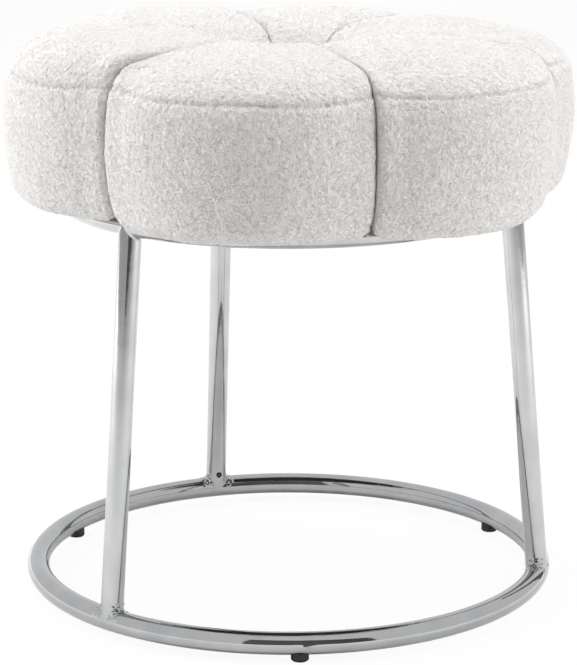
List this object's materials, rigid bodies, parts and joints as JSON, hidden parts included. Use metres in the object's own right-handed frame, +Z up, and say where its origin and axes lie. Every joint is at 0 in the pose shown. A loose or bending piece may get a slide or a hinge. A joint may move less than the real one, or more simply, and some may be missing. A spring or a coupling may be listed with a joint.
{
  "type": "vanity stool",
  "caption": "Round vanity stool: a lobed, tufted pile-fabric cushion on a welded chrome frame of a top ring, leaning legs and a wider base ring on rubber feet.",
  "frame": {"origin": "on the floor, at the centre of the stool", "axes": "+Z up; -Y towards the front, where one cushion lobe points; +X to the right, towards one leg"},
  "size_m": [0.4667, 0.495, 0.4883],
  "materials": {
    "chrome_tube": "polished chrome plate on steel tube",
    "chrome_weld": "chrome plate over a rippled weld bead",
    "foot_rubber": "matt black rubber",
    "zinc_fastener": "zinc-plated steel",
    "plywood": "bare birch plywood",
    "foam": "open-cell upholstery foam",
    "sherpa": "short curly pile, ivory white",
    "hem_cloth": "knitted backing cloth of the pile fabric",
    "dust_cloth": "thin black non-woven cloth",
    "staple_wire": "galvanised wire",
    "twine": "waxed nylon tufting twine"
  },
  "bodies": {
    "root": {"base_ring": "chrome_tube", "top_ring": "chrome_tube", "leg_right": "chrome_tube", "leg_back": "chrome_tube", "leg_front_left": "chrome_tube", "base_welds": "chrome_weld", "top_welds": "chrome_weld", "foot_back_right": "foot_rubber", "foot_left": "foot_rubber", "foot_front": "foot_rubber", "seat_tab_back_right": "chrome_tube", "seat_tab_left": "chrome_tube", "seat_tab_front_right": "chrome_tube", "tab_welds": "chrome_weld", "seat_bolts": "zinc_fastener", "spring_washers": "zinc_fastener", "flat_washers": "zinc_fastener", "tee_nuts": "zinc_fastener", "seat_board": "plywood", "foam_block": "foam", "cover_back_right": "sherpa", "cover_back": "sherpa", "cover_back_left": "sherpa", "cover_front_left": "sherpa", "cover_front": "sherpa", "cover_front_right": "sherpa", "cover_hem": "hem_cloth", "dust_cover": "dust_cloth", "staples": "staple_wire", "tuft_twine": "twine", "tuft_washer": "zinc_fastener"}
  },
  "joints": []
}
